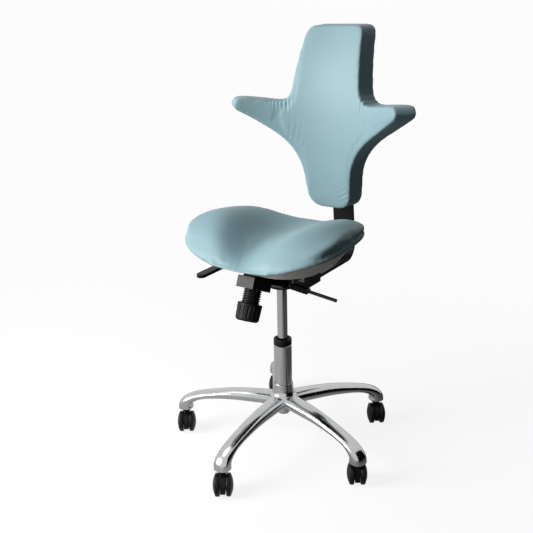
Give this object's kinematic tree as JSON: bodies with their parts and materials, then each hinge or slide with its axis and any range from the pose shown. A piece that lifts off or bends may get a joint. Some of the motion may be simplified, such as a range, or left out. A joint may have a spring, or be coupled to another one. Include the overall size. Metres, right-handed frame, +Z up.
{
  "type": "medical stool",
  "caption": "Height-adjustable rolling stool with a dished saddle-like seat, cross-shaped backrest with forward wings, gas lift column and star base on casters.",
  "frame": {"origin": "point on the floor under the lift column", "axes": "+Z up along the lift column, -Y the way the sitter faces, +X to the sitter's left"},
  "size_m": [0.6146, 0.7092, 1.1352],
  "materials": {
    "polished_alloy": "polished",
    "chromed_steel": "polished",
    "wheel_plastic": "satin",
    "plated_steel": "plated",
    "black_plastic": "fine grain",
    "cream_plastic": "satin",
    "leatherette": "soft sheen",
    "black_painted_steel": "powder coat"
  },
  "bodies": {
    "base": {"star_base": "polished_alloy", "column_tube": "chromed_steel", "guide_collar": "black_plastic", "thrust_washer": "plated_steel", "thrust_bearing": "plated_steel", "caster_stem_front": "plated_steel", "caster_stem_left_front": "plated_steel", "caster_stem_left_rear": "plated_steel", "caster_stem_right_rear": "plated_steel", "caster_stem_right_front": "plated_steel"},
    "caster_front": {"caster_hood_front": "black_plastic", "caster_axle_front": "plated_steel"},
    "wheel_front_a": {"caster_wheel_front_a": "wheel_plastic"},
    "wheel_front_b": {"caster_wheel_front_b": "wheel_plastic"},
    "caster_left_front": {"caster_hood_left_front": "black_plastic", "caster_axle_left_front": "plated_steel"},
    "wheel_left_front_a": {"caster_wheel_left_front_a": "wheel_plastic"},
    "wheel_left_front_b": {"caster_wheel_left_front_b": "wheel_plastic"},
    "caster_left_rear": {"caster_hood_left_rear": "black_plastic", "caster_axle_left_rear": "plated_steel"},
    "wheel_left_rear_a": {"caster_wheel_left_rear_a": "wheel_plastic"},
    "wheel_left_rear_b": {"caster_wheel_left_rear_b": "wheel_plastic"},
    "caster_right_rear": {"caster_hood_right_rear": "black_plastic", "caster_axle_right_rear": "plated_steel"},
    "wheel_right_rear_a": {"caster_wheel_right_rear_a": "wheel_plastic"},
    "wheel_right_rear_b": {"caster_wheel_right_rear_b": "wheel_plastic"},
    "caster_right_front": {"caster_hood_right_front": "black_plastic", "caster_axle_right_front": "plated_steel"},
    "wheel_right_front_a": {"caster_wheel_right_front_a": "wheel_plastic"},
    "wheel_right_front_b": {"caster_wheel_right_front_b": "wheel_plastic"},
    "spindle": {"piston_rod": "plated_steel", "retaining_clip": "plated_steel"},
    "lift": {"gas_cylinder": "chromed_steel", "release_button": "plated_steel", "mechanism_housing": "black_painted_steel", "pivot_pin": "plated_steel", "lever_pin": "plated_steel"},
    "height_lever": {"height_lever": "black_painted_steel"},
    "tilt_paddle": {"tilt_paddle": "black_plastic"},
    "tension_adjuster": {"tension_screw": "black_painted_steel", "tension_knob": "black_plastic"},
    "seat": {"seat_plate": "black_painted_steel", "seat_pan": "cream_plastic", "seat_cushion": "leatherette", "pan_screws": "plated_steel", "bar_carrier": "black_painted_steel", "clamp_bolt": "plated_steel"},
    "back": {"back_bar": "black_painted_steel", "back_bracket": "black_painted_steel", "back_bolts": "plated_steel", "back_shell": "black_plastic", "back_cushion": "leatherette"}
  },
  "joints": [
    {"name": "caster_front_swivel", "type": "hinge", "parent": "base", "child": "caster_front", "pos_m": [0, -0.296, 0.06], "axis": [0, 0, 1], "continuous": true},
    {"name": "wheel_front_a_spin", "type": "hinge", "parent": "caster_front", "child": "wheel_front_a", "pos_m": [0.00654, -0.30606, 0.03], "axis": [-0.8387, -0.5446, 0], "continuous": true},
    {"name": "wheel_front_b_spin", "type": "hinge", "parent": "caster_front", "child": "wheel_front_b", "pos_m": [0.00654, -0.30606, 0.03], "axis": [-0.8387, -0.5446, 0], "continuous": true},
    {"name": "caster_left_front_swivel", "type": "hinge", "parent": "base", "child": "caster_left_front", "pos_m": [0.28151, -0.09147, 0.06], "axis": [0, 0, 1], "continuous": true},
    {"name": "wheel_left_front_a_spin", "type": "hinge", "parent": "caster_left_front", "child": "wheel_left_front_a", "pos_m": [0.27515, -0.08129, 0.03], "axis": [0.848, 0.5299, 0], "continuous": true},
    {"name": "wheel_left_front_b_spin", "type": "hinge", "parent": "caster_left_front", "child": "wheel_left_front_b", "pos_m": [0.27515, -0.08129, 0.03], "axis": [0.848, 0.5299, 0], "continuous": true},
    {"name": "caster_left_rear_swivel", "type": "hinge", "parent": "base", "child": "caster_left_rear", "pos_m": [0.17398, 0.23947, 0.06], "axis": [0, 0, 1], "continuous": true},
    {"name": "wheel_left_rear_a_spin", "type": "hinge", "parent": "caster_left_rear", "child": "wheel_left_rear_a", "pos_m": [0.18104, 0.22976, 0.03], "axis": [-0.809, -0.5878, 0], "continuous": true},
    {"name": "wheel_left_rear_b_spin", "type": "hinge", "parent": "caster_left_rear", "child": "wheel_left_rear_b", "pos_m": [0.18104, 0.22976, 0.03], "axis": [-0.809, -0.5878, 0], "continuous": true},
    {"name": "caster_right_rear_swivel", "type": "hinge", "parent": "base", "child": "caster_right_rear", "pos_m": [-0.17398, 0.23947, 0.06], "axis": [0, 0, 1], "continuous": true},
    {"name": "wheel_right_rear_a_spin", "type": "hinge", "parent": "caster_right_rear", "child": "wheel_right_rear_a", "pos_m": [-0.16798, 0.22908, 0.03], "axis": [-0.866, -0.5, 0], "continuous": true},
    {"name": "wheel_right_rear_b_spin", "type": "hinge", "parent": "caster_right_rear", "child": "wheel_right_rear_b", "pos_m": [-0.16798, 0.22908, 0.03], "axis": [-0.866, -0.5, 0], "continuous": true},
    {"name": "caster_right_front_swivel", "type": "hinge", "parent": "base", "child": "caster_right_front", "pos_m": [-0.28151, -0.09147, 0.06], "axis": [0, 0, 1], "continuous": true},
    {"name": "wheel_right_front_a_spin", "type": "hinge", "parent": "caster_right_front", "child": "wheel_right_front_a", "pos_m": [-0.27498, -0.10153, 0.03], "axis": [-0.8387, -0.5446, 0], "continuous": true},
    {"name": "wheel_right_front_b_spin", "type": "hinge", "parent": "caster_right_front", "child": "wheel_right_front_b", "pos_m": [-0.27498, -0.10153, 0.03], "axis": [-0.8387, -0.5446, 0], "continuous": true},
    {"name": "seat_swivel", "type": "hinge", "parent": "base", "child": "spindle", "pos_m": [0, 0, 0.15], "axis": [0, 0, 1], "continuous": true},
    {"name": "seat_lift", "type": "slide", "parent": "spindle", "child": "lift", "axis": [0, 0, 1], "range_m": [-0.12, 0]},
    {"name": "height_lever_lift", "type": "hinge", "parent": "lift", "child": "height_lever", "pos_m": [0.042, -0.034, 0.4955], "axis": [0, -1, 0], "range_deg": [0, 8], "stiffness_Nm_per_rad": 6, "springref_deg": -5.73},
    {"name": "tilt_paddle_turn", "type": "hinge", "parent": "lift", "child": "tilt_paddle", "pos_m": [-0.1, 0.014, 0.503], "axis": [1, 0, 0], "range_deg": [-12, 12]},
    {"name": "tension_turn", "type": "hinge", "parent": "lift", "child": "tension_adjuster", "pos_m": [0, -0.14027, 0.49846], "axis": [0, 0.4067, 0.9135], "continuous": true},
    {"name": "seat_tilt", "type": "hinge", "parent": "lift", "child": "seat", "pos_m": [0, -0.055, 0.5155], "axis": [-1, 0, 0], "range_deg": [0, 8]},
    {"name": "back_depth", "type": "slide", "parent": "seat", "child": "back", "axis": [0, 1, 0], "range_m": [0, 0.04]}
  ]
}
